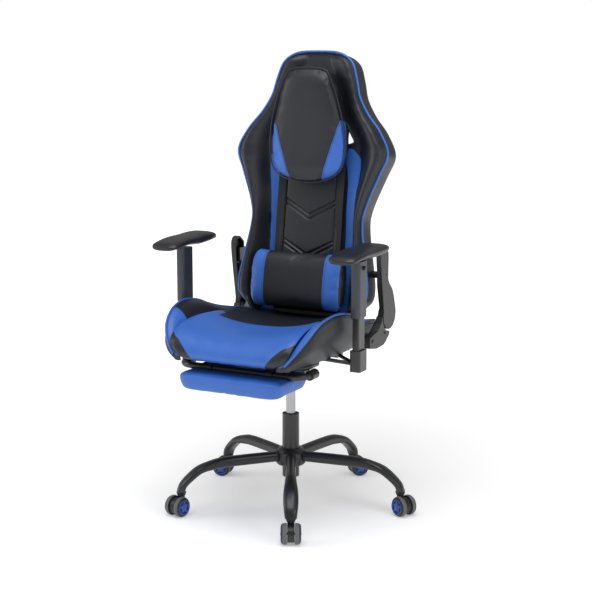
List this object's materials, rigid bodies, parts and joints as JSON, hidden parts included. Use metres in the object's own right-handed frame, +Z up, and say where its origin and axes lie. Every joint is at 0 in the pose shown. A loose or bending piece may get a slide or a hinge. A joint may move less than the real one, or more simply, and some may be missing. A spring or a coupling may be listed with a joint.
{
  "type": "gaming chair",
  "caption": "Racing-style office chair: winged reclining back with head and lumbar pillows, bolstered tilting seat, slide-out footrest, height-set arms, gas lift and caster star base.",
  "frame": {"origin": "on the gas column's axis, at floor level", "axes": "+Z up, the sitter faces -Y, +X is the sitter's left"},
  "size_m": [0.7333, 0.7506, 1.3287],
  "materials": {
    "black_steel": "satin powder coat",
    "bare_steel": "brushed",
    "chrome": "ground and plated",
    "black_plastic": "fine moulded texture",
    "grey_plastic": "satin nylon",
    "tread": "matt polyurethane",
    "board": "raw plywood",
    "black_leather": "semi-matt coated leatherette",
    "blue_leather": "semi-matt coated leatherette",
    "pad_foam": "soft integral-skin foam"
  },
  "bodies": {
    "base": {"base_hub": "black_steel", "base_legs": "black_steel", "column_tube": "black_steel", "column_bush": "grey_plastic", "caster_stems": "bare_steel"},
    "hood_1": {"caster_hood_1": "black_plastic"},
    "wheels_1": {"caster_wheels_1": "tread"},
    "hood_2": {"caster_hood_2": "black_plastic"},
    "wheels_2": {"caster_wheels_2": "tread"},
    "hood_3": {"caster_hood_3": "black_plastic"},
    "wheels_3": {"caster_wheels_3": "tread"},
    "hood_4": {"caster_hood_4": "black_plastic"},
    "wheels_4": {"caster_wheels_4": "tread"},
    "hood_5": {"caster_hood_5": "black_plastic"},
    "wheels_5": {"caster_wheels_5": "tread"},
    "lift_rod": {"lift_rod": "chrome", "thrust_bearing": "bare_steel"},
    "carrier": {"gas_cylinder": "chrome", "mechanism_housing": "black_steel", "tilt_pin": "bare_steel", "tilt_spring": "bare_steel"},
    "valve_button": {"valve_button": "bare_steel"},
    "tension_knob": {"tension_knob": "black_plastic"},
    "lock_slider": {"lock_slider": "black_steel"},
    "height_lever": {"lever_rod": "black_steel", "lever_grip": "black_plastic"},
    "seat": {"seat_plate": "black_steel", "seat_board": "board", "seat_cushion": "blue_leather", "seat_bolster_left": "black_leather", "seat_bolster_right": "black_leather", "arm_bracket_left": "black_steel", "arm_bracket_right": "black_steel", "arm_bolts": "black_steel", "recline_bracket_left": "black_steel", "recline_bracket_right": "black_steel", "lower_cover_left": "black_plastic", "lower_cover_right": "black_plastic", "footrest_frame": "black_steel"},
    "recline_lever": {"recline_lever": "black_plastic"},
    "footrest_slider": {"footrest_slider": "black_steel"},
    "footrest_pad": {"footrest_board": "black_plastic", "footrest_pad": "blue_leather"},
    "back": {"back_frame": "black_steel", "back_cushion": "black_leather", "head_cushion": "black_leather", "back_bolster_left": "black_leather", "back_bolster_right": "black_leather", "back_cover": "black_leather", "upper_cover_left": "black_plastic", "upper_cover_right": "black_plastic"},
    "head_pillow": {"head_pillow": "black_leather"},
    "lumbar_pillow": {"lumbar_pillow": "blue_leather"},
    "arm_left": {"arm_sleeve_left": "grey_plastic", "arm_pad_left": "pad_foam"},
    "arm_right": {"arm_sleeve_right": "grey_plastic", "arm_pad_right": "pad_foam"},
    "arm_button_left": {"arm_button_left": "black_plastic"},
    "arm_button_right": {"arm_button_right": "black_plastic"}
  },
  "joints": [
    {"name": "caster_1_swivel", "type": "hinge", "parent": "base", "child": "hood_1", "pos_m": [0.15727, -0.29579, 0.05], "axis": [0, 0, 1], "continuous": true},
    {"name": "caster_1_roll", "type": "hinge", "parent": "hood_1", "child": "wheels_1", "pos_m": [0.16572, -0.31168, 0.029], "axis": [0.8829, 0.4695, 0], "continuous": true},
    {"name": "caster_2_swivel", "type": "hinge", "parent": "base", "child": "hood_2", "pos_m": [0.32991, 0.05817, 0.05], "axis": [0, 0, 1], "continuous": true},
    {"name": "caster_2_roll", "type": "hinge", "parent": "hood_2", "child": "wheels_2", "pos_m": [0.3458, 0.04972, 0.029], "axis": [0.4695, 0.8829, 0], "continuous": true},
    {"name": "caster_3_swivel", "type": "hinge", "parent": "base", "child": "hood_3", "pos_m": [0.04662, 0.33174, 0.05], "axis": [0, 0, 1], "continuous": true},
    {"name": "caster_3_roll", "type": "hinge", "parent": "hood_3", "child": "wheels_3", "pos_m": [0.05935, 0.34447, 0.029], "axis": [-0.7071, 0.7071, 0], "continuous": true},
    {"name": "caster_4_swivel", "type": "hinge", "parent": "base", "child": "hood_4", "pos_m": [-0.3011, 0.14685, 0.05], "axis": [0, 0, 1], "continuous": true},
    {"name": "caster_4_roll", "type": "hinge", "parent": "hood_4", "child": "wheels_4", "pos_m": [-0.31882, 0.14373, 0.029], "axis": [0.1736, -0.9848, 0], "continuous": true},
    {"name": "caster_5_swivel", "type": "hinge", "parent": "base", "child": "hood_5", "pos_m": [-0.23271, -0.24098, 0.05], "axis": [0, 0, 1], "continuous": true},
    {"name": "caster_5_roll", "type": "hinge", "parent": "hood_5", "child": "wheels_5", "pos_m": [-0.23584, -0.25871, 0.029], "axis": [0.9848, -0.1736, 0], "continuous": true},
    {"name": "seat_swivel", "type": "hinge", "parent": "base", "child": "lift_rod", "pos_m": [0, 0, 0.09], "axis": [0, 0, 1], "continuous": true},
    {"name": "seat_height", "type": "slide", "parent": "lift_rod", "child": "carrier", "axis": [0, 0, 1], "range_m": [-0.08, 0]},
    {"name": "valve_press", "type": "slide", "parent": "carrier", "child": "valve_button", "axis": [0, 0, -1], "range_m": [0, 0.005]},
    {"name": "tension_turn", "type": "hinge", "parent": "carrier", "child": "tension_knob", "pos_m": [0, -0.05, 0.42], "axis": [0, 0, 1], "continuous": true},
    {"name": "tilt_lock", "type": "slide", "parent": "carrier", "child": "lock_slider", "axis": [-1, 0, 0], "range_m": [0, 0.012]},
    {"name": "lever_lift", "type": "hinge", "parent": "lock_slider", "child": "height_lever", "pos_m": [-0.0605, 0, 0.4805], "axis": [0, 1, 0], "range_deg": [0, 4], "stiffness_Nm_per_rad": 8, "springref_deg": -4.58},
    {"name": "seat_tilt", "type": "hinge", "parent": "carrier", "child": "seat", "pos_m": [0, -0.076, 0.482], "axis": [-1, 0, 0], "range_deg": [0, 8], "stiffness_Nm_per_rad": 350, "springref_deg": -17.19},
    {"name": "back_recline", "type": "hinge", "parent": "seat", "child": "back", "pos_m": [0, 0.15, 0.57], "axis": [-1, 0, 0], "range_deg": [0, 55]},
    {"name": "recline_release", "type": "hinge", "parent": "seat", "child": "recline_lever", "pos_m": [-0.25, 0.06, 0.512], "axis": [-1, 0, 0], "range_deg": [0, 25], "stiffness_Nm_per_rad": 2, "springref_deg": -14.32},
    {"name": "footrest_slide", "type": "slide", "parent": "seat", "child": "footrest_slider", "axis": [0, -1, 0], "range_m": [0, 0.28]},
    {"name": "footrest_flip", "type": "hinge", "parent": "footrest_slider", "child": "footrest_pad", "pos_m": [0, -0.299, 0.466], "axis": [-1, 0, 0], "range_deg": [0, 180]},
    {"name": "arm_height_left", "type": "slide", "parent": "seat", "child": "arm_left", "axis": [0, 0, 1], "range_m": [-0.08, 0]},
    {"name": "arm_height_right", "type": "slide", "parent": "seat", "child": "arm_right", "axis": [0, 0, 1], "range_m": [-0.08, 0]},
    {"name": "arm_button_left_press", "type": "slide", "parent": "arm_left", "child": "arm_button_left", "axis": [-1, 0, 0], "range_m": [0, 0.0025], "stiffness_N_per_m": 400, "springref_m": -0.002},
    {"name": "arm_button_right_press", "type": "slide", "parent": "arm_right", "child": "arm_button_right", "axis": [1, 0, 0], "range_m": [0, 0.0025], "stiffness_N_per_m": 400, "springref_m": -0.002},
    {"name": "head_pillow_shift", "type": "slide", "parent": "back", "child": "head_pillow", "axis": [0, 0.1564, 0.9877], "range_m": [-0.03, 0.02]},
    {"name": "lumbar_pillow_shift", "type": "slide", "parent": "back", "child": "lumbar_pillow", "axis": [0, 0.1564, 0.9877], "range_m": [-0.01, 0.12]}
  ],
  "couplings": [
    {"joint": "valve_press", "follows": "lever_lift", "m_per_rad": 0.062},
    {"joint": "footrest_flip", "follows": "footrest_slide", "rad_per_m": 11.22}
  ]
}
